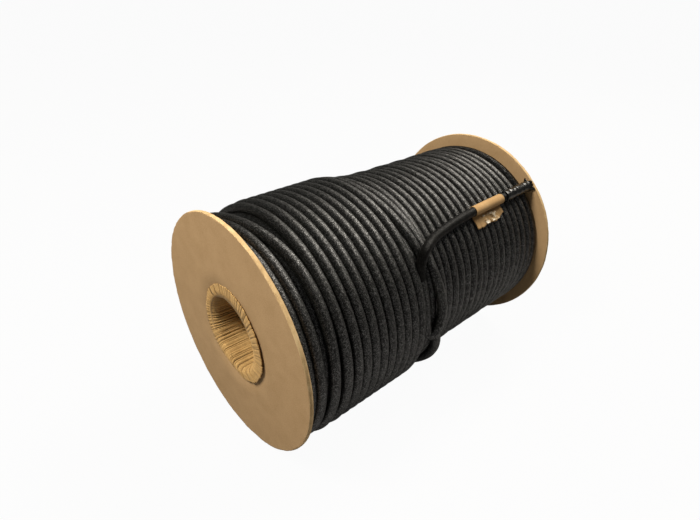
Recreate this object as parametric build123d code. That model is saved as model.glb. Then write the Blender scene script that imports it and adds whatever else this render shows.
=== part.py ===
from build123d import *
import math
import os

# The reel's axis is X and its middle is the origin, with the end that shows its face at -X.
# It lies on the rims of its two flanges, with +Z up.
flange_radius = 112.0
flange_thickness = 4.0
reel_length = 337.5

# The seam of each rim is turned this far from the lowest point.
rim_seam_angle = 1.32

# The paper tube goes through both flanges, and its ends are folded out over their faces.
bore_radius = 32.5
tube_wall = 2.5
seat_gap = 0.2
hole_chamfer = 3.0

# Each end is pleated: every fold is a strip of the tube bent outwards, one edge over the next.
collar_radius = 47.0
fold_count = 28
fold_tilt = 6.0
fold_root = 6.0
fold_overlap = 1.0
fold_bend_radius = 7.0
fold_creases = 3
fold_edge = 0.8
collar_clearance = 0.02

# Neighbouring turns of the winding with the same crown radius, from the -X flange to the other.
# The top layer fills less than half of the reel, so the crowns step down past its last turn.
turn_stretches = [
    (3, 105.8),
    (1, 108.1),
    (9, 109.8),
    (1, 108.1),
    (1, 106.4),
    (2, 103.3),
    (2, 102.1),
    (2, 101.4),
    (12, 100.5),
]
groove_depth = 3.2

# The free end of the cord lies along the winding: distance from the face at -X, angle from
# the top towards -Y, and distance from the axis.
cord_radius = 4.7
tail_route = [
    (131.5, 67.5, 114.9),
    (133.0, 60.2, 114.9),
    (140.6, 54.4, 114.3),
    (158.0, 50.8, 110.4),
    (187.0, 48.3, 107.8),
    (224.0, 46.5, 106.2),
    (280.0, 46.1, 106.2),
    (329.4, 45.9, 106.2),
]
tail_arc_share = 0.45
tag_run = 5
sleeve_corner = 6

# The paper tag is wrapped round the free end, and its flag lies on the winding.
tag_start = 4.5
tag_length = 48.0
tag_bore_radius = 4.9
tag_paper = 0.6
flag_start = 1.0
flag_reach = 20.0
flag_angle = 6.0

# The sleeve is shrunk over the last of the cord and stands past its cut end.
sleeve_length = 34.0
sleeve_bore_radius = 4.9
sleeve_wall = 0.5
sleeve_overhang = 1.6

half_length = reel_length / 2
inner_half = half_length - flange_thickness
tube_radius = bore_radius + tube_wall
seat_radius = tube_radius + seat_gap
turn_count = sum(count for count, crown in turn_stretches)
turn_pitch = 2 * inner_half / turn_count


def turned(profile):
    # A closed outline of distance along X and distance from X, turned about X.
    return revolve(make_face(profile), axis=Axis.X)


def flange():
    # A board disc at +X, with the edge of its hole cut back where the tube bends out over it.
    low_side = (Align.CENTER, Align.CENTER, Align.MIN)
    place = Pos(inner_half, 0, 0) * Rot(rim_seam_angle, 0, 0) * Rot(0, 90, 0)
    board = place * Cylinder(flange_radius, flange_thickness, align=low_side)
    board -= place * Cylinder(seat_radius, flange_thickness, align=low_side)
    outer_edges = board.edges().filter_by(GeomType.CIRCLE).group_by(Axis.X)[-1]
    return chamfer(outer_edges.sort_by(SortBy.RADIUS)[0], hole_chamfer)


def fold():
    # One strip of the tube's end, creased as it turns outwards over the flange. It is tilted
    # about its own middle line, and two planes through the reel's axis trim its sides.
    front = half_length + tube_wall
    root = half_length - fold_root
    bend_x = front - fold_bend_radius
    bend_r = bore_radius + fold_bend_radius
    back = tube_radius - seat_gap / 2
    turns = [math.pi / 2 * step / fold_creases for step in range(fold_creases + 1)]
    bend = [
        (bend_x + fold_bend_radius * math.sin(turn), bend_r - fold_bend_radius * math.cos(turn))
        for turn in turns
    ]
    section = Polyline(
        (root, bore_radius),
        *bend,
        (front, collar_radius - fold_edge),
        (front - fold_edge, collar_radius),
        (half_length, collar_radius),
        (half_length, back + hole_chamfer),
        (half_length - hole_chamfer, back),
        (root, back),
        close=True,
    )
    strip = extrude(make_face(section), amount=collar_radius / 4, both=True)
    side = collar_radius * math.tan(math.pi / fold_count)
    lift = side * math.sin(math.radians(fold_tilt)) + collar_clearance
    hinge = Pos(half_length, 0, 0)
    tilted = Pos(lift, 0, 0) * hinge * Rot(0, fold_tilt, 0) * hinge.inverse() * strip
    wedge = Polyline((0, 0), (2 * collar_radius, 2 * side), (2 * collar_radius, -2 * side), close=True)
    return tilted & extrude(Plane.YZ * make_face(wedge), amount=reel_length)


def core_tube():
    length = 2 * (half_length - fold_root + fold_overlap)
    tube = Rot(0, 90, 0) * Cylinder(tube_radius, length)
    tube -= Rot(0, 90, 0) * Cylinder(bore_radius, length)
    strip = fold()
    folds = [Rot(step * 360 / fold_count, 0, 0) * strip for step in range(fold_count)]
    return tube + folds + [mirror(one, about=Plane.YZ) for one in folds]


def winding():
    # Every turn is a ridge with two flanks, and neighbouring turns meet in a groove.
    crowns = [crown for count, crown in turn_stretches for turn in range(count)]
    points = [(-inner_half, seat_radius)]
    for turn, crown in enumerate(crowns):
        left = crowns[max(turn - 1, 0)]
        points.append((-inner_half + turn * turn_pitch, min(left, crown) - groove_depth))
        points.append((-inner_half + (turn + 0.5) * turn_pitch, crown))
    points.append((inner_half, crowns[-1] - groove_depth))
    points.append((inner_half, seat_radius))
    return turned(Polyline(*points, close=True))


def tail_point(along, angle, out):
    turn = math.radians(angle)
    return Vector(along - half_length, -out * math.sin(turn), out * math.cos(turn))


def tail_radii(points):
    # Each bend is as large as the shorter of its two runs allows.
    radii = []
    for before, corner, after in zip(points, points[1:], points[2:]):
        into = corner - before
        out_of = after - corner
        half_turn = math.radians(into.get_angle(out_of)) / 2
        shorter = min(into.length, out_of.length)
        radii.append(tail_arc_share * shorter / math.tan(half_turn))
    return radii


def cord_tail(points, radii):
    path = FilletPolyline(*points, radius=radii)
    start = Plane(origin=points[0], z_dir=points[1] - points[0])
    tube = sweep(start * Circle(cord_radius), path=path)
    section = math.pi * cord_radius**2
    print("tail length", round(path.length, 1), "radii", [round(radius) for radius in radii])
    print("tail volume against its section times its length", tube.volume / (section * path.length))
    return tube


def paper_tag(points):
    # One strip of paper round the cord with its two ends stuck together as a flag.
    start = points[tag_run]
    along = (points[tag_run + 1] - start).normalized()
    outward = Vector(0, start.Y, start.Z)
    plane = Plane(origin=start + along * tag_start, z_dir=along, x_dir=outward)
    outer_radius = tag_bore_radius + tag_paper
    wrap = Circle(outer_radius) - Circle(tag_bore_radius)
    flag_centre = (-outer_radius + tag_paper, flag_start + flag_reach / 2)
    flag = Pos(*flag_centre) * Rot(0, 0, flag_angle) * Rectangle(2 * tag_paper, flag_reach)
    return extrude(plane * (wrap + (flag - Circle(tag_bore_radius))), amount=tag_length)


def end_sleeve(points):
    end = points[-1]
    along = (end - points[sleeve_corner]).normalized()
    plane = Plane(origin=end + along * sleeve_overhang, z_dir=along * -1)
    ring = Circle(sleeve_bore_radius + sleeve_wall) - Circle(sleeve_bore_radius)
    return extrude(plane * ring, amount=sleeve_length)


os.makedirs("parts", exist_ok=True)
route = [tail_point(*place) for place in tail_route]
far_flange = flange()
export_step(mirror(far_flange, about=Plane.YZ), "parts/flange_near.step")
export_step(far_flange, "parts/flange_far.step")
export_step(core_tube(), "parts/core_tube.step")
export_step(winding(), "parts/cord_winding.step")
export_step(cord_tail(route, tail_radii(route)), "parts/cord_tail.step")
export_step(paper_tag(route), "parts/paper_tag.step")
export_step(end_sleeve(route), "parts/end_sleeve.step")
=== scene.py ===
import math

import bpy
import numpy as np
from mathutils import Matrix, Vector


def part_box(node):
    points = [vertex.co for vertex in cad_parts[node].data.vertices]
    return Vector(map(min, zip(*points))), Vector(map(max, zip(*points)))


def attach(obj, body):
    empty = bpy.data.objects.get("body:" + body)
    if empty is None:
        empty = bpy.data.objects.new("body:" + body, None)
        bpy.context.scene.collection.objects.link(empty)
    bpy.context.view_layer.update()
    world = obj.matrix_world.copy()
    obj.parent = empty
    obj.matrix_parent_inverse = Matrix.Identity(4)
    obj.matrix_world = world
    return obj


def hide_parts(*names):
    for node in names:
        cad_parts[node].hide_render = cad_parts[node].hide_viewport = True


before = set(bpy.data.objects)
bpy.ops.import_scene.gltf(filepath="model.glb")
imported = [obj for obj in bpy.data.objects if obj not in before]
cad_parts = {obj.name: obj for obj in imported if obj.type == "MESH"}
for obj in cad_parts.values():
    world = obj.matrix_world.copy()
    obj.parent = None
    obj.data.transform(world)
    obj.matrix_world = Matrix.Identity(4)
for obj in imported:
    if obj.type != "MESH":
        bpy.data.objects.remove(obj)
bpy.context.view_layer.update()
scene = bpy.context.scene
mm = 0.001
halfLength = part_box("flange_far")[1].x   # outer face of the far board
flangeRadius = 112 * mm
print("frame loaded")


# Small helpers

def toLinear(hexColour):
    # sRGB to linear: c / 12.92 up to 0.04045, above it ((c + 0.055) / 1.055) to the power 2.4
    channels = np.array([int(hexColour[i:i + 2], 16) for i in (1, 3, 5)]) / 255
    linear = np.where(channels <= 0.04045, channels / 12.92, ((channels + 0.055) / 1.055) ** 2.4)
    return (*linear.tolist(), 1.0)


def onReel(along, angle, out):
    # mm from the near face, degrees from the top towards the camera's side and mm from the axis,
    # as metres in the frame: along - half the length, -out * sin(angle), out * cos(angle)
    along, angle, out = np.broadcast_arrays(along, angle, out)
    turn = np.radians(angle)
    return np.stack([along * mm - halfLength, -out * mm * np.sin(turn), out * mm * np.cos(turn)], -1)


def eased(share):
    # 3 t^2 - 2 t^3 of the share held between 0 and 1
    t = np.clip(share, 0, 1)
    return t * t * (3 - 2 * t)


def degreesFrom(angle, middle):
    # from -180 to 180
    return (angle - middle + 180) % 360 - 180


def bulge(angle, middle):
    # 1 at the middle, falling with the cosine to 0 a quarter turn away
    return np.clip(np.cos(np.radians(angle - middle)), 0, 1)


def wander(random, at, period, size):
    # smooth random curve: size * sum of sin(2 pi at / period * n^1.3 + random phase) / n, n = 1 to 5
    total = np.zeros_like(at)
    for n in range(1, 6):
        phase = random.uniform(0, 2 * np.pi)
        total += np.sin(2 * np.pi * at / period * n ** 1.3 + phase) / n
    return total * size


def unit(vectors):
    return vectors / np.linalg.norm(vectors, axis=-1, keepdims=True)


def travel(steps):
    # length travelled up to each point, from the steps between the points
    return np.concatenate([[0], np.cumsum(np.linalg.norm(steps, axis=1))])


def pairs(rows, columns):
    # every row's value with every column's
    return np.stack(np.meshgrid(rows, columns, indexing="ij"), -1)


def throughKeys(keys, spacing, radius):
    # cubic curve through (along, angle, out) keys, with the slope at a key taken from its two
    # neighbours, read at even steps of about the given length in mm; the radius turns the keys'
    # degrees to mm for that
    keys = np.array(keys, float)
    steps = np.diff(keys, axis=0)
    steps[:, 1] = np.radians(steps[:, 1]) * radius
    travelled = travel(steps)
    at = np.linspace(0, travelled[-1], int(travelled[-1] / spacing) + 2)
    slopes = np.gradient(keys, travelled, axis=0)
    i = np.clip(np.searchsorted(travelled, at, side="right") - 1, 0, len(travelled) - 2)
    gap = (travelled[i + 1] - travelled[i])[:, None]
    t = ((at - travelled[i])[:, None]) / gap
    return ((2 * t**3 - 3 * t**2 + 1) * keys[i] + (t**3 - 2 * t**2 + t) * gap * slopes[i]
            + (3 * t**2 - 2 * t**3) * keys[i + 1] + (t**3 - t**2) * gap * slopes[i + 1])


def makeMesh(name, grids, materials):
    # grids of points joined to quads: corner (i, j), (i + 1, j), (i + 1, j + 1), (i, j + 1)
    # a grid has "points" and "uv", and may have: "closed", whether rows and columns run round;
    # "flip", which turns its faces over; "slot", a material number for each row; "shade", how
    # much painted shade each point gets, from 0 to 1; "caps", the rows that one face closes
    coords, corners, sizes, uvs, slots, shades = [], [], [], [], [], []
    offset = 0
    for grid in grids:
        points = grid["points"]
        rows, columns = points.shape[:2]
        closed = grid.get("closed", (False, False))
        first = pairs(np.arange(rows - 1 + closed[0]), np.arange(columns - 1 + closed[1]))
        i = first[..., 0]
        j = first[..., 1]
        i = np.stack([i, i + 1, i + 1, i], -1).reshape(-1, 4)
        j = np.stack([j, j, j + 1, j + 1], -1).reshape(-1, 4)
        if grid.get("flip"):
            i = i[:, ::-1]
            j = j[:, ::-1]
        coords.append(points.reshape(-1, 3))
        shades.append(grid["shade"].ravel() if "shade" in grid else np.zeros(rows * columns))
        corners.append((offset + (i % rows) * columns + j % columns).ravel())
        sizes.append(np.full(len(i), 4))
        uvs.append(grid["uv"][i, j].reshape(-1, 2))
        slots.append(grid["slot"][i[:, 0] % rows] if "slot" in grid else np.zeros(len(i), int))
        for end in grid.get("caps", ()):
            ring = offset + (end % rows) * columns + np.arange(columns)
            corners.append(ring if end == 0 else ring[::-1])
            sizes.append(np.array([columns]))
            uvs.append(np.tile(grid["uv"][end % rows, 0], (columns, 1)))
            slots.append(np.zeros(1, int))
        offset += rows * columns
    lists = (coords, corners, sizes, uvs, slots, shades)
    coords, corners, sizes, uvs, slots, shades = (np.concatenate(part) for part in lists)
    mesh = bpy.data.meshes.new(name)
    mesh.vertices.add(len(coords))
    mesh.vertices.foreach_set("co", coords.ravel())
    mesh.loops.add(len(corners))
    mesh.loops.foreach_set("vertex_index", corners)
    mesh.polygons.add(len(sizes))
    mesh.polygons.foreach_set("loop_start", np.concatenate([[0], np.cumsum(sizes)[:-1]]))
    mesh.polygons.foreach_set("loop_total", sizes)
    mesh.polygons.foreach_set("material_index", slots)
    mesh.polygons.foreach_set("use_smooth", np.ones(len(sizes), bool))
    mesh.uv_layers.new(name="UVMap").data.foreach_set("uv", uvs.ravel())
    mesh.attributes.new("shade", "FLOAT", "POINT").data.foreach_set("value", shades)
    mesh.update()
    mesh.validate()
    for material in materials:
        mesh.materials.append(material)
    piece = bpy.data.objects.new(name, mesh)
    scene.collection.objects.link(piece)
    return piece


def ringRound(across, outward, turn):
    # directions round each point of a path: cos(turn) * across + sin(turn) * outward
    return np.cos(turn)[None, :, None] * across[:, None] + np.sin(turn)[None, :, None] * outward[:, None]


def tube(path, radius, sides):
    # a circle carried along the path and closed at both ends: each point is the path's plus the
    # radius times a direction round it, where outward points away from the reel's axis
    # UV is mm along the path and the share of a turn round it
    forward = unit(np.gradient(path, axis=0))
    across = unit(np.cross(forward, unit(path * (0, 1, 1))))
    outward = np.cross(across, forward)
    ring = ringRound(across, outward, np.linspace(0, 2 * np.pi, sides, endpoint=False))
    points = path[:, None] + np.broadcast_to(radius, (len(path), sides))[..., None] * ring
    uv = pairs(travel(np.diff(path, axis=0)) / mm, np.linspace(0, 1, sides + 1))
    return {"points": points, "uv": uv, "closed": (False, True), "caps": (0, -1)}


def newMaterial(name):
    material = bpy.data.materials.new(name)
    material.use_nodes = True
    return material, material.node_tree.nodes["Principled BSDF"]


def plug(owner, node, links):
    # links: (input name or number, plain value or another node's output)
    for place, value in links:
        if isinstance(value, bpy.types.NodeSocket):
            owner.node_tree.links.new(value, node.inputs[place])
        else:
            node.inputs[place].default_value = value


def addNode(owner, kind, links=(), **settings):
    # a node of a material or the world, with its own settings and its inputs filled
    node = owner.node_tree.nodes.new(kind)
    for key, value in settings.items():
        setattr(node, key, value)
    plug(owner, node, links)
    return node


def calc(owner, operation, *values):
    return addNode(owner, "ShaderNodeMath", enumerate(values), operation=operation).outputs[0]


def noise(owner, place, scale, detail):
    links = [("Vector", place), ("Scale", scale), ("Detail", detail)]
    return addNode(owner, "ShaderNodeTexNoise", links).outputs[0]


def bump(owner, height, strength, distance):
    # the surface's normal tilted by a pattern, which stands for the given distance in mm
    links = [("Height", height), ("Strength", strength), ("Distance", distance * mm)]
    return addNode(owner, "ShaderNodeBump", links).outputs[0]


def colourRamp(owner, factor, stops):
    node = addNode(owner, "ShaderNodeValToRGB", [(0, factor)])
    elements = node.color_ramp.elements
    while len(elements) < len(stops):
        elements.new(0.5)
    for element, (place, colour) in zip(elements, stops):
        element.position = place
        element.color = toLinear(colour)
    return node.outputs[0]


# Camera, floor and light

# the camera as solved from the photo: place in metres, its own directions, lens in mm
view = {
    "place": (-0.32041, -0.32476, 0.27280),
    "right": (0.743997, -0.668183, 0.0),
    "up": (0.333319, 0.371139, 0.866692),
    "forward": (0.579109, 0.644816, -0.498844),
    "lens": 25.42, "nearest": 0.01,
}
cameraData = bpy.data.cameras.new("camera")
cameraData.lens = view["lens"]
cameraData.clip_start = view["nearest"]
camera = bpy.data.objects.new("camera", cameraData)
scene.collection.objects.link(camera)
axes = np.array([view["right"], view["up"], [-c for c in view["forward"]]]).T
camera.matrix_world = Matrix.Translation(view["place"]) @ Matrix(axes.tolist()).to_4x4()
scene.camera = camera
scene.view_settings.view_transform = "Standard"

studio = {
    "floorSize": 60.0, "floorColour": "#8c8c8c", "floorRoughness": 0.9,
    "white": (1, 1, 1, 1), "seenWhite": 0.96, "mirroredWhite": 0.04,
    "skyColour": "#ffffff", "skyStrength": 0.08,
    "lamps": [   # name, place, length and width in metres, watts, colour, whether shiny pieces mirror it
        ("key", (1.1, -0.1, 1.45), 1.0, 0.6, 47, "#fff8ec", True),
        ("front", (-0.8, 0.15, 1.08), 0.35, 0.35, 24.3, "#fffaf4", False),
    ],
}


def whiteShare(owner):
    # share of plain white that a ray meets: seenWhite for camera and transmission rays, and the
    # smaller mirroredWhite for glossy ones, so that dark cord isn't washed out
    rays = addNode(owner, "ShaderNodeLightPath")
    seen = calc(owner, "MAXIMUM", rays.outputs["Is Camera Ray"], rays.outputs["Is Transmission Ray"])
    mirrored = calc(owner, "MULTIPLY", rays.outputs["Is Glossy Ray"], studio["mirroredWhite"])
    return calc(owner, "MAXIMUM", calc(owner, "MULTIPLY", seen, studio["seenWhite"]), mirrored)


def makeWhiteGround():
    # matt white floor: part lit surface, which keeps the shadow, and part plain white
    material, shader = newMaterial("floorWhite")
    plug(material, shader, [("Base Color", toLinear(studio["floorColour"])),
                            ("Roughness", studio["floorRoughness"])])
    white = addNode(material, "ShaderNodeEmission", [("Color", studio["white"]), ("Strength", 1.0)])
    mixed = addNode(material, "ShaderNodeMixShader", [(0, whiteShare(material)), (1, shader.outputs[0]),
                                                      (2, white.outputs[0])])
    plug(material, material.node_tree.nodes["Material Output"], [("Surface", mixed.outputs[0])])
    side = studio["floorSize"] / 2
    corners = pairs((-side, side), (-side, side))
    points = np.concatenate([corners, np.full((2, 2, 1), -flangeRadius)], -1)
    floor = makeMesh("floor", [{"points": points, "uv": corners}], [material])


def makeLight():
    # a faint white sky, which the camera sees as white as the floor, and two soft lamps
    world = bpy.data.worlds.new("paleRoom")
    scene.world = world
    world.use_nodes = True
    sky = world.node_tree.nodes["Background"]
    plug(world, sky, [("Color", toLinear(studio["skyColour"])), ("Strength", studio["skyStrength"])])
    white = addNode(world, "ShaderNodeBackground", [("Color", studio["white"])])
    mixed = addNode(world, "ShaderNodeMixShader", [(0, whiteShare(world)), (1, sky.outputs[0]),
                                                   (2, white.outputs[0])])
    plug(world, world.node_tree.nodes["World Output"], [("Surface", mixed.outputs[0])])
    for name, place, length, width, watts, colour, mirrored in studio["lamps"]:
        lampData = bpy.data.lights.new(name, "AREA")
        lampData.shape = "RECTANGLE"
        lampData.size = length
        lampData.size_y = width
        lampData.energy = watts
        lampData.color = toLinear(colour)[:3]
        lamp = bpy.data.objects.new(name, lampData)
        scene.collection.objects.link(lamp)
        lamp.location = place
        lamp.visible_glossy = mirrored
        # a lamp shines along its own -Z, here at the origin
        lamp.rotation_euler = Vector(place).to_track_quat("Z", "Y").to_euler()


makeWhiteGround()
makeLight()
print("camera, floor and light made")


# Materials

weave = {
    "lay": 0.95, "carriers": 30.0,   # mm from strand to strand along the cord, and strands each way
    "girth": 29.2,   # mm once round the cord
    "fibreScale": 0.3, "fibreDetail": 3.0, "roughness": 0.48, "bumpStrength": 0.4, "bumpHeight": 0.2,
    # a gain and what it is added to
    "chanceTone": (0.5, 0.5), "fibreTone": (0.5, 0.75), "rubbed": (0.9, 0.1),
    "rubbedPower": 3.0, "plainGloss": 0.04,
    # the ramp's colours: painted shade in the gaps between the strands and on their flanks
    "gap": "#010101", "flank": "#050504", "flankAt": 0.35,
}


def blackBraid(name, rub, crown):
    # polyester braid over rubber strands, woven over and under at about 45 degrees and drawn at its
    # real size: near black, with painted shade in the gaps between the strands and a paler colour on
    # the tops, random from crossing to crossing, that is partly rubbed wear and partly painted glint,
    # and fine silvery specks of gloss where the top of a strand is rubbed smooth; rub is how much of
    # that gloss there is, crown the colour painted on those tops
    material, shader = newMaterial(name)
    uv = addNode(material, "ShaderNodeUVMap", uv_map="UVMap").outputs[0]
    parts = addNode(material, "ShaderNodeSeparateXYZ", [(0, uv)])
    alongCord = calc(material, "DIVIDE", parts.outputs[0], weave["lay"])
    roundCord = calc(material, "MULTIPLY", parts.outputs[1], weave["carriers"])
    ridges = []
    cells = []
    for lean in ("ADD", "SUBTRACT"):
        # the strands of one way; the height of a strand is sin(pi * share across it)
        strand = calc(material, lean, alongCord, roundCord)
        share = calc(material, "FRACT", strand)
        ridges.append(calc(material, "SINE", calc(material, "MULTIPLY", share, math.pi)))
        cells.append(calc(material, "FLOOR", strand))
    # the two ways take turns on top, from one crossing to the next
    crossing = calc(material, "FLOORED_MODULO", calc(material, "ADD", *cells), 2.0)
    over = calc(material, "GREATER_THAN", crossing, 0.5)
    height = addNode(material, "ShaderNodeMix", [(0, over), (2, ridges[0]), (3, ridges[1])]).outputs[0]
    place = addNode(material, "ShaderNodeCombineXYZ", enumerate(cells)).outputs[0]
    chance = addNode(material, "ShaderNodeTexWhiteNoise", [("Vector", place)],
                     noise_dimensions="2D").outputs["Value"]
    unrolled = addNode(material, "ShaderNodeMapping", [("Vector", uv), ("Scale", (1, weave["girth"], 1))])
    fibre = noise(material, unrolled.outputs[0], weave["fibreScale"], weave["fibreDetail"])
    # place on the ramp of colours: height * (0.5 + 0.5 * chance) * (0.75 + 0.5 * fibre), where
    # chance is a random number for each crossing
    tone = calc(material, "MULTIPLY", height, calc(material, "MULTIPLY_ADD", chance, *weave["chanceTone"]))
    tone = calc(material, "MULTIPLY", tone, calc(material, "MULTIPLY_ADD", fibre, *weave["fibreTone"]))
    # painted shade in the gaps between the strands; the paler tops are partly rubbed wear and partly painted
    # glint
    colour = colourRamp(material, tone, [(0.0, weave["gap"]), (weave["flankAt"], weave["flank"]),
                                         (1.0, crown)])
    # gloss on the tops only: 0.04 + rub * height * (0.1 + 0.9 * chance cubed)
    chosen = calc(material, "POWER", chance, weave["rubbedPower"])
    rubbed = calc(material, "MULTIPLY", height, calc(material, "MULTIPLY_ADD", chosen, *weave["rubbed"]))
    gloss = calc(material, "MULTIPLY_ADD", rubbed, rub, weave["plainGloss"])
    tilted = bump(material, height, weave["bumpStrength"], weave["bumpHeight"])
    plug(material, shader, [("Base Color", colour), ("Specular IOR Level", gloss), ("Normal", tilted),
                            ("Roughness", weave["roughness"])])
    return material


kraft = {
    # crease is the colour of the painted shade in the core's creases and slits
    "crease": "#3b2812", "cloudSize": 12, "cloudDetail": 3.0, "fleckDetail": 5.0,
    "bumpStrength": 0.25, "bumpHeight": 0.2,
}


def paper(name, dark, mid, light, grain, stretch=(1, 1, 1), roughness=0.85, useUv=False, mottle=0.6,
          gloss=0.25):
    # kraft paper: brown fibres pressed flat, matt with a low sheen, in soft clouds and fine flecks,
    # and painted darker, as shade, where the piece's shade attribute says that it lies in a crease
    # place on the ramp of colours: mottle * clouds + (1 - mottle) * flecks; grain is flecks in a
    # metre of the object, or in a mm of the piece's own UV, and clouds are 12 times their size
    # flecks of about 1 mm, as on all but the core, are coarser than real ones, so that they show
    material, shader = newMaterial(name)
    if useUv:
        source = addNode(material, "ShaderNodeUVMap", uv_map="UVMap").outputs[0]
    else:
        source = addNode(material, "ShaderNodeTexCoord").outputs["Object"]
    scaled = addNode(material, "ShaderNodeMapping", [("Vector", source), ("Scale", stretch)]).outputs[0]
    clouds = noise(material, scaled, grain / kraft["cloudSize"], kraft["cloudDetail"])
    flecks = noise(material, scaled, grain, kraft["fleckDetail"])
    mixed = calc(material, "ADD", calc(material, "MULTIPLY", clouds, mottle),
                 calc(material, "MULTIPLY", flecks, 1 - mottle))
    colour = colourRamp(material, mixed, [(0.25, dark), (0.5, mid), (0.75, light)])
    # painted shade: the colour goes to the crease colour as far as the shade attribute says
    shade = addNode(material, "ShaderNodeAttribute", attribute_name="shade").outputs["Fac"]
    shaded = addNode(material, "ShaderNodeMix", [(0, shade), (6, colour), (7, toLinear(kraft["crease"]))],
                     data_type="RGBA")
    tilted = bump(material, flecks, kraft["bumpStrength"], kraft["bumpHeight"])
    plug(material, shader, [("Base Color", shaded.outputs[2]), ("Normal", tilted),
                            ("Roughness", roughness), ("Specular IOR Level", gloss)])
    return material


crumpled = {
    "filmColour": "#0c0c0b", "filmGrain": 160.0, "filmDetail": 2.0, "filmRoughness": 0.25,
    "filmGloss": 0.35, "filmBump": (0.9, 1.2),   # strength, and height in mm
    "tapeRamp": [(0.35, "#b99b70"), (0.5, "#d3c09c"), (0.62, "#ebe4d4")],
    "tapeGrain": 190.0, "tapeDetail": 3.0, "tapeVeil": (0.42, 0.66, 0.0, 0.85),
    "tapeRoughness": 0.35, "tapeGloss": 0.3, "tapeBump": (0.4, 0.8),
}


def shrunkFilm():
    # polyolefin film shrunk on with heat: smooth glossy black, its glints broken by soft wrinkles,
    # which are noise of 160 to the metre
    material, shader = newMaterial("blackShrinkFilm")
    place = addNode(material, "ShaderNodeTexCoord").outputs["Object"]
    wrinkles = noise(material, place, crumpled["filmGrain"], crumpled["filmDetail"])
    plug(material, shader, [("Base Color", toLinear(crumpled["filmColour"])),
                            ("Roughness", crumpled["filmRoughness"]),
                            ("Specular IOR Level", crumpled["filmGloss"]),
                            ("Normal", bump(material, wrinkles, *crumpled["filmBump"]))])
    return material


def clearTape():
    # extruded clear packing tape, crumpled by hand: glossy, with whitish patches that are partly the
    # creased tape's milkiness and partly painted highlight, clear between; noise of 190 to the metre
    # gives its colour, and its alpha as 0 to 0.85 over 0.42 to 0.66
    material, shader = newMaterial("clearPackingTape")
    place = addNode(material, "ShaderNodeTexCoord").outputs["Object"]
    milkyAndHighlight = noise(material, place, crumpled["tapeGrain"], crumpled["tapeDetail"])
    veil = addNode(material, "ShaderNodeMapRange", enumerate((milkyAndHighlight, *crumpled["tapeVeil"]))).outputs[0]
    # whitish where the noise is high: partly milky tape, partly painted highlight
    plug(material, shader, [("Base Color", colourRamp(material, milkyAndHighlight, crumpled["tapeRamp"])),
                            ("Alpha", veil), ("Roughness", crumpled["tapeRoughness"]),
                            ("Specular IOR Level", crumpled["tapeGloss"]),
                            ("Normal", bump(material, milkyAndHighlight, *crumpled["tapeBump"]))])
    return material


# the wound cord, its strands rubbed where turns press on each other: fine glints along its crests
braid = blackBraid("blackPolyesterBraid", 3.2, "#1f1f1c")
# the free end of the same cord, less rubbed and so less glossy, with its tops painted darker as shade: almost
# flat black
freshShadedBraid = blackBraid("unrubbedShadedPolyesterBraid", 0.35, "#121110")
# grey board with kraft paper glued on: an even mid brown, and paler with coarse clouds where it is cut
boardFace = paper("kraftFacedBoard", "#947852", "#a28560", "#ad9069", 900, mottle=0.35)
boardEdge = paper("cutBoardEdge", "#94774f", "#b99c70", "#d2b88c", 1400)
# wound tube paper pressed in pleats: warmer, streaked round the tube, a little shinier, with painted shade in
# its creases and slits
corePaper = paper("pleatedKraftPaper", "#8d6c40", "#b3905b", "#cba76e", 9, (1, 0.12, 1), roughness=0.6,
                  useUv=True, mottle=0.35, gloss=0.3)
# plain kraft strip torn off a roll: matt, darker and cloudier
tagPaper = paper("kraftTagPaper", "#886b42", "#9f7f55", "#b5976c", 700)
film = shrunkFilm()
tape = clearTape()
print("materials made")


# Boards

board = {
    "thickness": 4.0, "columns": 720,
    "profile": (   # mm from the outer face and from the axis, round the board's section
        (0.0, 36.5), (0.0, 60.0), (0.0, 85.0), (0.0, 104.0), (0.0, 110.0), (0.0, 111.3),
        (0.12, 111.75), (0.5, 111.95), (1.2, 112.0), (2.0, 112.0), (2.9, 112.0), (3.6, 111.95),
        (3.9, 111.7), (4.0, 111.2), (4.0, 104.0), (4.0, 85.0), (4.0, 60.0), (4.0, 35.3), (3.0, 35.3),
        (1.2, 35.3),
    ),
    # points of the profile that show the cut edge, that are worn, and where the face's paper ends
    "cutRows": (6, 7, 8, 9, 10, 11), "frontRows": (5, 6, 7), "backRows": (11, 12, 13), "lipRow": 6,
    "ragged": ((14, 0.10), (47, 0.12)),   # periods in degrees and sizes in mm
    "frontWear": (0.12, 0.7), "backWear": (0.1, 0.5),   # mm added to the wander, and the most
    "lip": (-0.1, 0.35), "wave": (180, 0.12), "waveFrom": 60, "waveOver": 50,
}


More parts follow.
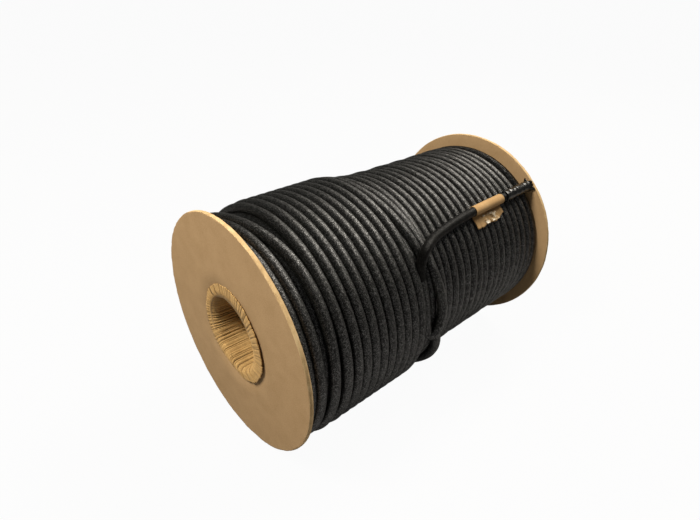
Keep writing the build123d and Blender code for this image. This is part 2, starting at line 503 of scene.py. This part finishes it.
def boardDisc(name, side, seed):
    # the profile turned about the axis: its radius loses a wander held to 0.7 mm in front and
    # 0.5 mm behind at the rim's corners, and its depth gains a wander of 0.12 mm eased in from 60
    # to 110 mm out, held within the board's thickness
    random = np.random.default_rng(seed)
    profile = np.array(board["profile"])
    count = board["columns"]
    rows = np.arange(len(profile))
    angle = np.linspace(0, 360, count, endpoint=False)
    depth = np.repeat(profile[:, :1], count, 1)
    radius = np.repeat(profile[:, 1:], count, 1)
    ragged = sum(wander(random, angle, *wave) for wave in board["ragged"])
    wear = []
    for corner, worn, (least, most) in (("frontRows", ragged, board["frontWear"]),
                                        ("backRows", ragged[::-1], board["backWear"])):
        wear.append(np.isin(rows, board[corner])[:, None] * np.clip(worn + least, 0, most))
    radius -= wear[0] + wear[1]
    depth += (rows == board["lipRow"])[:, None] * np.clip(ragged, *board["lip"])
    waves = wander(random, angle, *board["wave"])
    depth += waves * eased((radius - board["waveFrom"]) / board["waveOver"])
    points = onReel(np.clip(depth, 0, board["thickness"]), angle, radius)
    points[..., 0] *= -side
    uv = pairs(np.arange(len(profile) + 1.0), np.linspace(0, 1, count + 1))
    slot = np.isin(rows, board["cutRows"]).astype(int)
    disc = makeMesh(name, [{"points": points, "uv": uv, "closed": (True, True), "slot": slot,
                            "flip": side < 0}], [boardFace, boardEdge])
    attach(disc, "root")
    return disc


nearBoard = boardDisc("nearBoard", -1, 3)
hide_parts("flange_near")
farBoard = boardDisc("farBoard", 1, 4)
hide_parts("flange_far")
print("boards made")


# Pleated paper core, in mm and degrees unless said

core = {
    "bore": 32.5, "outside": 35.0, "paper": 0.9, "columns": 900, "seed": 11,
    # rows in the bore: distance from the outer face, and how much of the pleats shows there
    "deepRows": ((60, 0.0), (44, 0.2), (34, 0.4), (26, 0.6), (20, 0.8), (15, 0.9), (11.5, 1.0)),
    "bendRows": 10, "flatRows": (0.25, 0.5, 0.75, 0.9, 1.0), "outerRows": (3.2, 40.0, 297.5, 334.3),
    # a collar stands proud of the board, more where it is lifted, and its rim leans back where it
    # isn't; its underside keeps a gap and ends at the edge of the board's hole
    "proud": 0.95, "lift": 1.5, "lean": 0.35, "backLift": 0.8, "backGap": 0.02, "holeEdge": 36.4,
    "proudest": 3.55,
    # how much of the pleats and of their tilt shows on the flat, at its rounded edge and behind it
    "flatShares": (0.5, 0.12), "edgeShares": (0.5, 0.1), "backShares": (0.3, 0.1),
    "edgeIn": 0.4, "edgeOut": 0.15, "edgeBack": 0.1,
    # the near collar stands off the board by (gain * cosine from an angle, held to 1) to a power
    "liftAt": 100, "liftGain": 1.25, "liftPower": 1.3, "farLift": 0.2,
    # a collar's radius, and how far it is wider or narrower about an angle
    "collar": 46.2, "ragged": ((31, 0.3), (9, 0.12)),
    "nearWide": (6.8, 58), "nearNarrow": (3.2, 168), "farWide": (1.5, 200),
    "nearBend": 4.2, "farBend": 5.0, "flares": ((5, 285), (9.4, 52)),   # radii of the mouth's bend
    # pleats: how far creases are off their even places (share of a strip), the strips' tilt, and
    # how deep the creases are (share of the full valley)
    "strips": 88, "jitter": 0.38, "tilt": (-0.2, 1.1), "depths": (0.2, 1.0), "depthPower": 1.2,
    "rib": 0.38, "ribWander": (7.3, 0.04), "valley": 0.85, "valleyHalf": 0.6,
    # creases run aslant, by degrees eased in with the radius and added with the depth
    "slant": 4.0, "slantFrom": 33, "slantOver": 14, "deepSlant": 0.06, "deepSlantTo": 40,
    # torn creases of the near end, cut in and painted dark as shade: angle, depth
    "slits": ((158, 3.4), (141, 4.2), (128, 1.5), (172, 2.0), (186, 1.6), (338, 1.8), (352, 1.4),
              (324, 1.2)),
    "slitHalf": 1.1, "slitShare": 0.4, "slitSlant": 0.5, "shadePower": 0.2, "hiddenRun": 200,
}


def pleatedEnd(collar, lift, bend):
    # rows from the deep bore out over the board and back under the collar, as distance from the
    # outer face (negative stands proud), radius, and how much of the pleats and of their tilt shows;
    # the bend is a quarter circle: front + bend * (1 - sin), bore + bend * (1 - cos)
    bore = core["bore"]
    front = -core["proud"] - core["lift"] * lift
    rows = [(depth, bore, share, share) for depth, share in core["deepRows"]]
    for turn in np.radians(np.linspace(0, 90, core["bendRows"])):
        sine = math.sin(turn)
        cosine = math.cos(turn)
        rows.append((front + bend * (1 - sine), bore + bend * (1 - cosine), 1.0, cosine))
    for step in core["flatRows"]:
        leant = front + core["lean"] * step * (1 - lift)
        rows.append((leant, bore + bend + (collar - bore - bend) * step, *core["flatShares"]))
    # over the cut edge and back underneath
    depth, rim = rows[-1][:2]
    rows.append((depth + core["edgeIn"] * core["paper"], rim + core["edgeOut"], *core["edgeShares"]))
    back = rim - core["edgeBack"]
    rows.append((np.minimum(depth + core["paper"], -core["backGap"]), back, *core["backShares"]))
    for step in (0.5, 1.0):
        depth = -core["backGap"] - core["backLift"] * lift * (1 - step)
        rows.append((depth, back + (core["holeEdge"] - rim) * step, 0.0, 0.0))
    depth, radius, share, tiltShare = zip(*rows)
    depth = np.array(np.broadcast_arrays(*depth))
    radius = np.array(np.broadcast_arrays(*radius))
    return depth, radius, np.array(share)[:, None], np.array(tiltShare)[:, None]


def pleatHeight(random, angle, rowSlant, slits):
    # a strip's height is 0.38 * sin(pi * share across) + wander - 0.85 * narrow, where narrow is
    # the crease's depth * exp(-(degrees from it / 0.6)^2); a slit is cut in by 0.4 of its own
    # depth * exp(-(degrees from it / 1.1)^2)
    # the second result is the strip's slope, tilt * (share across - 0.5), the third how much painted shade it
    # gets: 0.85 * narrow, and up to 1 in a slit
    count = core["strips"]
    jitter = core["jitter"]
    creases = np.sort((np.arange(count) + random.uniform(-jitter, jitter, count)) * 360 / count)
    widths = np.diff(np.append(creases, creases[0] + 360))
    tilt = random.uniform(*core["tilt"], count)
    deep = random.uniform(*core["depths"], count) ** core["depthPower"]
    here = (angle[None, :] + rowSlant[:, None] - creases[0]) % 360 + creases[0]
    strip = np.clip(np.searchsorted(creases, here, side="right") - 1, 0, count - 1)
    across = (here - creases[strip]) / widths[strip]
    near = np.minimum(across, 1 - across) * widths[strip]
    nearest = np.where(across < 0.5, strip, (strip + 1) % count)
    narrow = np.exp(-(near / core["valleyHalf"]) ** 2) * deep[nearest]
    rib = core["rib"] * np.sin(np.pi * across) + wander(random, here, *core["ribWander"])
    valley = -core["valley"] * narrow
    # painted shade, as dark as the crease is deep
    dark = core["valley"] * narrow
    for place, depth in slits:
        off = degreesFrom(angle[None, :] + rowSlant[:, None] * core["slitSlant"], place)
        slit = np.exp(-(off / core["slitHalf"]) ** 2)
        valley = valley - depth * core["slitShare"] * slit
        # a slit gets painted shade of up to 1
        dark = np.maximum(dark, slit)
    return rib + valley, tilt[strip] * (across - 0.5), dark


def pleatedCore():
    # closed ring of rows round the tube's wall, both ends pleated: each point of an end is moved
    # by the pleat's height * share + tilt * its share, square to its row
    random = np.random.default_rng(core["seed"])
    angle = np.linspace(0, 360, core["columns"], endpoint=False)
    lifted = np.clip(np.cos(np.radians(angle - core["liftAt"])) * core["liftGain"], 0, 1) ** core["liftPower"]
    ragged = sum(wander(random, angle, *wave) for wave in core["ragged"])
    # the tube's end was cut a little aslant, so one side of each collar is wider
    wide, at = core["nearWide"]
    nearCollar = core["collar"] + wide * np.cos(np.radians(angle - at)) + ragged
    narrow, at = core["nearNarrow"]
    nearCollar -= narrow * bulge(angle, at) ** 2
    wide, at = core["farWide"]
    farCollar = core["collar"] + wide * np.cos(np.radians(angle - at)) + ragged[::-1]
    # the mouth flares more at the top and on both sides than at the bottom
    flared = sum(size * bulge(angle, at) for size, at in core["flares"])
    shades = []
    halves = []
    for side, collar, lift, bend, slits in (
            (-1, nearCollar, lifted, core["nearBend"] + flared, core["slits"]),
            (1, farCollar, lifted * core["farLift"], core["farBend"], ())):
        depth, radius, share, tiltShare = pleatedEnd(collar, lift, bend)
        alongRow = np.stack([depth.mean(1), radius.mean(1)], -1)
        slant = core["slant"] * eased((alongRow[:, 1] - core["slantFrom"]) / core["slantOver"])
        slant = slant + core["deepSlant"] * np.minimum(alongRow[:, 0], core["deepSlantTo"])
        height, tilted, dark = pleatHeight(random, angle, slant, slits)
        height = height * share + tilted * tiltShare
        alongRow = unit(np.gradient(alongRow, axis=0))
        # the paper's free side is the bore's inside and the collar's front
        depth = np.clip(depth - height * alongRow[:, 1:], -core["proudest"], None)
        points = onReel(depth, angle, radius + height * alongRow[:, :1])
        points[..., 0] *= -side
        halves.append(points)
        # painted shade of the creases and slits, less of it where less of the pleats shows
        shades.append(np.clip(dark * share ** core["shadePower"], 0, 1))
    outside = [onReel(place, angle, core["outside"]) for place in core["outerRows"]]
    loop = np.concatenate([halves[0], np.array(outside), halves[1][::-1]])
    shade = np.concatenate([shades[0], np.zeros((len(outside), len(angle))), shades[1][::-1]])
    # UV is mm along the rows and degrees round; the last run is the plain bore between the ends
    travelled = travel(np.diff(loop[:, 0], axis=0)) / mm
    travelled = np.append(travelled, travelled[-1] + core["hiddenRun"])
    uv = pairs(travelled, np.linspace(0, 360, core["columns"] + 1))
    piece = makeMesh("pleatedCore", [{"points": loop, "uv": uv, "closed": (True, True), "shade": shade,
                                      "flip": True}], [corePaper])
    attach(piece, "root")
    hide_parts("core_tube")


pleatedCore()
print("core made")


# Wound cord, in mm and degrees unless said

wound = {
    "radius": 4.65, "sides": 16, "seed": 21,
    # the layer below
    "turns": 33, "stepsPerTurn": 150, "startAngle": 110, "firstTurn": 8.99, "pitch": 9.985,
    "nudge": 1e-9,   # keeps the very last point in the last turn
    "between": (9.0, 328.5), "alongWander": (410, 0.33), "outWander": (530, 0.36),
    "shiftStart": 190, "shiftHalf": 60,   # the step to the next turn is made on the hidden side
    "farLean": 6.0, "leanTurns": (25, 31, 31.01, 32), "leanShares": (0, 1, 0, 0),
    "leanFrom": 5, "leanOver": 70,
    "lowerOut": 95.5, "raised": 3.2, "raisedFrom": 130, "raisedTo": 158, "raisedFall": 30,
    # the part-filled layer above, as keys of along, angle and out within each numbered turn
    "topStart": {
        0: ((8.8, -30, 94.5), (9.0, 5, 97), (9.1, 30, 99.3), (9.2, 90, 99.8), (9.4, 200, 99.8)),
        1: ((10.6, -60, 99.5), (11.2, -10, 99.5), (14.0, 5, 100.5), (16.2, 20, 101),
            (17.6, 40, 101.5), (17.8, 90, 102), (17.8, 180, 102)),
        2: ((17.6, -60, 101.7), (18.4, -10, 101.5), (22.0, 0, 101.5), (26.0, 12, 101.7),
            (29.5, 22, 102), (32.6, 33, 102.3), (34.0, 45, 102.5), (34.0, 57, 102.8), (33.2, 68, 103),
            (32.2, 78, 103.2), (31.2, 90, 103.5), (30.4, 115, 104), (31.5, 180, 104)),
        3: ((39.0, -60, 103), (41.4, -5, 103.3), (43.0, 25, 103.8), (43.4, 80, 104.2)),
    },
    "evenTurns": range(4, 13), "evenAngle": 45, "evenStart": 53.2, "evenPitch": 9.65, "evenOut": 104.2,
    "topEnd": {
        13: ((134.6, -60, 103.6), (136.4, 0, 103.2), (139.2, 20, 103.2), (143.6, 40, 103),
             (147.4, 52, 102.2), (149.2, 62, 101.4), (150.0, 75, 100.8), (150.8, 88, 101.2),
             (154.0, 98, 104.2), (159.0, 107, 106.6), (164.6, 119, 107.2), (168.0, 135, 106.2),
             (168.0, 160, 104), (160.0, 200, 102), (150.0, 240, 101)),
        14: ((144.0, -60, 101), (144.2, 0, 101.6), (148.2, 20, 102), (150.6, 38, 102.4),
             (151.8, 49, 103.6), (152.4, 58, 105.2), (153.2, 67, 106.8), (154.2, 75, 108.4),
             (154.0, 82, 109.8), (151.8, 88, 110.6), (147.8, 92.6, 110.8), (143.6, 95.6, 110),
             (140.0, 96.2, 108), (138.2, 93, 106), (137.8, 87, 104.6), (138.0, 81, 103.8),
             (138.2, 74, 103.6), (138.0, 66, 103.6), (137.9, 61, 105.4)),
    },
    "topStep": 4.2, "keyRadius": 105, "sag": 0.7, "topWander": (470, 0.18), "loopTurn": 13,
    # the turns beneath, seen only as dark between the outer ones: along and out
    "drum": ((4.1, 35.4), (4.1, 91.0), (333.4, 91.0), (333.4, 35.4)), "drumColumns": 96,
}


def lowerLayer(random):
    # one cord over the whole length: each turn runs square to the axis and is eased a pitch on at
    # the back; out is 95.5 + 3.2 under the top layer, which dies away past its end, + wander
    start = wound["startAngle"]
    turns = wound["turns"]
    turnAngle = np.linspace(-start, 360 * turns - start, turns * wound["stepsPerTurn"])
    turn = np.floor((turnAngle + start) / 360 - wound["nudge"])
    angle = turnAngle - 360 * turn
    shift = 2 * wound["shiftHalf"]
    ahead = eased((angle - wound["shiftStart"]) / shift)
    behind = 1 - eased((angle + (360 - wound["shiftStart"])) / shift)
    first = wound["firstTurn"]
    along = first + wound["pitch"] * (turn + ahead - behind)
    along = np.clip(along, first, first + wound["pitch"] * (turns - 1))
    along += wander(random, turnAngle, *wound["alongWander"])
    # beside the far board the last turns lean away at the top, and only the very last stays against it
    leaning = np.interp(turn, wound["leanTurns"], wound["leanShares"]) * wound["farLean"]
    leaning = leaning * (1 - eased((angle - wound["leanFrom"]) / wound["leanOver"]))
    along -= leaning * eased((angle + start) / wound["leanOver"])
    along = np.clip(along, *wound["between"])
    past = np.clip(along - wound["raisedTo"], 0, None)
    raised = wound["raised"] * np.exp(-past / wound["raisedFall"]) * (along > wound["raisedFrom"])
    out = wound["lowerOut"] + raised
    out += wander(random, turnAngle, *wound["outWander"])
    return onReel(along, angle, out)


def keysOfTurns(turns):
    # the keys of numbered turns, with the angle counted on from the first turn
    return [(along, 360 * turn + angle, out) for turn, keys in turns.items() for along, angle, out in keys]


def topLayer(random):
    # starts at the near board, climbs off it and ends in a loop that turns back under the free end;
    # up to that loop it sags by 0.7 * (1 - cos(angle)) mm and wanders along the reel
    keys = keysOfTurns(wound["topStart"])
    for step, turn in enumerate(wound["evenTurns"]):
        along = wound["evenStart"] + wound["evenPitch"] * step
        keys.append((along, 360 * turn + wound["evenAngle"], wound["evenOut"]))
    keys += keysOfTurns(wound["topEnd"])
    along, angle, out = throughKeys(keys, wound["topStep"], wound["keyRadius"]).T
    even = angle < 360 * wound["loopTurn"]
    out = out + wound["sag"] * (1 - np.cos(np.radians(angle))) * even
    along = along + wander(random, angle, *wound["topWander"]) * even
    return onReel(along, angle, out)


def woundCord():
    # the two outer layers as real cord, over one plain drum
    random = np.random.default_rng(wound["seed"])
    lower = tube(lowerLayer(random), wound["radius"] * mm, wound["sides"])
    upper = tube(topLayer(random), wound["radius"] * mm, wound["sides"])
    count = wound["drumColumns"]
    angle = np.linspace(0, 360, count, endpoint=False)
    drum = np.stack([onReel(along, angle, out) for along, out in wound["drum"]])
    uv = pairs(np.zeros(len(drum) + 1), np.linspace(0, 1, count + 1))
    drumGrid = {"points": drum, "uv": uv, "closed": (True, True), "flip": True}
    lowerTurns = makeMesh("lowerTurns", [lower, drumGrid], [braid])
    topTurns = makeMesh("topTurns", [upper], [braid])
    for piece in (lowerTurns, topTurns):
        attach(piece, "root")
    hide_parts("cord_winding")


woundCord()
print("winding made")


# Free end

freeEnd = {
    "radius": 4.7, "thinner": 0.4, "pulledShare": 0.7, "sides": 24, "stepsPerKey": 10, "order": 3,
    "straight": 8,   # steps at the tip that give its direction
    "route": [   # distance from the near face, angle from the top, distance from the axis
        (138.0, 67.0, 103.6), (137.7, 62.5, 105.5), (138.5, 58.0, 109.5), (141.5, 54.5, 113.5),
        (148.0, 52.3, 114.6), (157.0, 50.9, 112.4), (167.0, 49.8, 109.2), (180.0, 48.8, 106.8),
        (198.0, 47.5, 106.0), (224.0, 46.5, 105.9), (252.0, 46.2, 105.9), (280.0, 46.1, 105.9),
        (305.0, 45.95, 105.9), (329.4, 45.9, 105.9),
    ],
}


def splinePoints(points):
    # the route as one smooth spline, read back as points
    curve = bpy.data.curves.new("route", "CURVE")
    curve.dimensions = "3D"
    curve.resolution_u = freeEnd["stepsPerKey"]
    spline = curve.splines.new("NURBS")
    spline.points.add(len(points) - 1)
    spline.points.foreach_set("co", np.append(points, np.ones((len(points), 1)), 1).ravel())
    spline.order_u = freeEnd["order"]
    spline.use_endpoint_u = True
    holder = bpy.data.objects.new("route", curve)
    mesh = bpy.data.meshes.new_from_object(holder)
    path = np.empty(len(mesh.vertices) * 3)
    mesh.vertices.foreach_get("co", path)
    bpy.data.objects.remove(holder)
    return path.reshape(-1, 3)


def makeFreeEnd():
    along, angle, out = np.array(freeEnd["route"]).T
    path = splinePoints(onReel(along, angle, out))
    length = np.linalg.norm(np.diff(path, axis=0), axis=1).sum()
    print("free end", round(length / mm, 1), "mm")
    # a little thinner where it is pulled round the bend
    pulled = 1 - eased(np.linspace(0, 1, len(path)) / freeEnd["pulledShare"])
    radius = (freeEnd["radius"] - freeEnd["thinner"] * pulled) * mm
    piece = makeMesh("freeEnd", [tube(path, radius[:, None], freeEnd["sides"])], [freshShadedBraid])
    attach(piece, "root")
    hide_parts("cord_tail")
    return piece, path, length


tail, tailPath, tailLength = makeFreeEnd()


def alongTail(fromTip):
    # points of the free end at distances back from its tip in mm, the two directions square to it
    # at each, and the direction in which its tip points
    ends = tailPath[::-1]
    back = travel(np.diff(ends, axis=0)) / mm
    places = np.stack([np.interp(fromTip, back, ends[:, axis]) for axis in range(3)], -1)
    direction = unit(ends[0] - ends[freeEnd["straight"]])
    outward = unit(places * (0, 1, 1))
    return places, np.cross(direction, outward), outward, direction


# Sleeve, in mm and degrees

sleeve = {
    "length": 43.0, "inside": 5.0, "outside": 5.85, "overhang": 1.4, "columns": 72, "rows": 40,
    "wrinkles": ((3, 0, 2.3, 0.02), (5, 40, 1.1, 0.015)),   # number round, phase, pace along, share
    "tears": ((40, 15, 6.2), (105, 14, 4.6), (165, 12, 5.4), (260, 30, 1.5)),   # angle, width, height
    "tipSteps": (0.35, 0.7, 1.0), "tipFlare": (0.55, 0.3), "tipReach": 0.15,
}


def makeSleeve():
    # film shrunk on the cord's end: the radius times 1 + share * sin(number * angle) * sin(along /
    # pace) for each kind of wrinkle; its tip is torn into points, which are the sum of height *
    # exp(-(degrees from the tear / width)^2), and it flares and reaches out with them
    rows = np.linspace(sleeve["length"], 0, sleeve["rows"])
    angle = np.linspace(0, 360, sleeve["columns"], endpoint=False)
    places, across, outward, direction = alongTail(rows)
    ring = ringRound(across, outward, np.radians(angle))
    torn = sum(height * np.exp(-(degreesFrom(angle, at) / wide) ** 2) for at, wide, height in sleeve["tears"])
    bumps = 1.0
    for number, phase, pace, share in sleeve["wrinkles"]:
        roundIt = np.sin(np.radians(angle * number + phase))
        bumps = bumps + share * roundIt[None, :] * np.sin(rows / pace)[:, None]
    flareShare, flareMost = sleeve["tipFlare"]
    shells = []
    for radius in (sleeve["outside"], sleeve["inside"]):
        shell = list(places[:, None] + ring * (radius * bumps * mm)[..., None])
        for step in sleeve["tipSteps"]:
            flare = radius + step * (flareShare * torn + flareMost)
            reach = step * (sleeve["overhang"] + sleeve["tipReach"] * torn)
            shell.append(places[-1] + ring[-1] * (flare * mm)[:, None] + direction * (reach * mm)[:, None])
        shells.append(np.array(shell))
    loop = np.concatenate([shells[0], shells[1][::-1]])
    uv = pairs(np.arange(len(loop) + 1.0), np.linspace(0, 1, sleeve["columns"] + 1))
    piece = makeMesh("endSleeve", [{"points": loop, "uv": uv, "closed": (True, True)}], [film])
    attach(piece, "root")
    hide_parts("end_sleeve")
    return piece


endSleeve = makeSleeve()


# Paper tag, in mm and degrees unless said

tag = {
    "start": 50.0, "width": 47.0, "thick": 0.3, "rows": 48, "seed": 8,
    "wrap": 5.05, "wrapAngles": (-78, 258, 40),   # radius; first angle, last angle and how many
    # the flag: how far it reaches, its torn corner, and each sheet's height and share of crumpling
    "reach": 16.0, "reachWander": (23, 0.55), "tornBy": 6, "tornFrom": 14, "tornOver": 22,
    "flagColumns": 14, "flagStart": 1.5, "flagDown": 4.6, "crumple": (17, 0.35),
    "sheets": ((0.175, 0.8), (-0.175, 1)),
    # the patch of clear tape: its rows of the tag, where it starts and ends on the flag, how far
    # below the cord's middle it lies, and its creases as periods and sizes
    "patchRows": (14, 36), "patchReach": (7.0, 17.0), "patchColumns": 24, "patchDown": 3.4,
    "creaseSize": 0.55, "alongCrease": (9, 0.6), "outCrease": (6, 0.6), "slantCrease": (7, 0.5),
    "creaseRange": (-0.6, 1.2), "patchRise": 0.3,
}


def makeTag():
    # one strip of paper: out along the flag, once round the cord and back down the flag
    random = np.random.default_rng(tag["seed"])
    rows = np.linspace(tag["start"] + tag["width"], tag["start"], tag["rows"])
    places, across, outward = alongTail(rows)[:3]
    # the flag's far corner is torn off aslant
    torn = tag["tornBy"] * eased((tag["start"] + tag["tornFrom"] - rows) / tag["tornOver"])
    reach = tag["reach"] + wander(random, rows, *tag["reachWander"]) - torn
    shareOut = np.linspace(1, 0, tag["flagColumns"])[None, :]
    crumple = wander(random, rows, *tag["crumple"])
    distance = shareOut * reach[:, None] + tag["flagStart"]
    flags = []
    for offset, crumpled in tag["sheets"]:
        drop = -tag["flagDown"] + offset + crumple[:, None] * shareOut * crumpled
        flags.append(places[:, None] + across[:, None] * (distance * mm)[..., None]
                     + outward[:, None] * (drop * mm)[..., None])
    turn = np.radians(np.linspace(*tag["wrapAngles"]))
    wrap = places[:, None] + ringRound(across, outward, turn) * tag["wrap"] * mm
    sheetPoints = np.concatenate([flags[0], wrap, flags[1][:, ::-1]], 1)
    uv = pairs(np.arange(float(len(rows))), np.arange(float(sheetPoints.shape[1])))
    # a crumpled patch of clear tape over the flag: its height is -3.4 + creases held between -0.6
    # and 1.2 + 0.3 * distance out / 17, with creases of 0.55 * wander along, out and aslant
    patchRows = rows[slice(*tag["patchRows"])]
    reachOut = np.linspace(*tag["patchReach"], tag["patchColumns"])
    places, across, outward = alongTail(patchRows)[:3]
    creased = tag["creaseSize"] * (
        wander(random, patchRows, *tag["alongCrease"])[:, None]
        + wander(random, reachOut, *tag["outCrease"])[None, :]
        + wander(random, np.add.outer(patchRows, reachOut), *tag["slantCrease"]))
    rise = tag["patchRise"] * reachOut[None, :] / tag["patchReach"][1]
    lift = -tag["patchDown"] + np.clip(creased, *tag["creaseRange"]) + rise
    patch = places[:, None] + (reachOut[None, :, None] * across[:, None]
                               + lift[..., None] * outward[:, None]) * mm
    patchUv = pairs(np.arange(float(len(patchRows))), np.arange(float(len(reachOut))))
    patchGrid = {"points": patch, "uv": patchUv, "slot": np.ones(len(patchRows), int)}
    piece = makeMesh("paperTag", [{"points": sheetPoints, "uv": uv}, patchGrid], [tagPaper, tape])
    thickness = piece.modifiers.new("paper", "SOLIDIFY")
    thickness.thickness = tag["thick"] * mm
    thickness.offset = 0
    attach(piece, "root")
    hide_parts("paper_tag")
    return piece


paperTag = makeTag()
print("free end, tag and sleeve made")
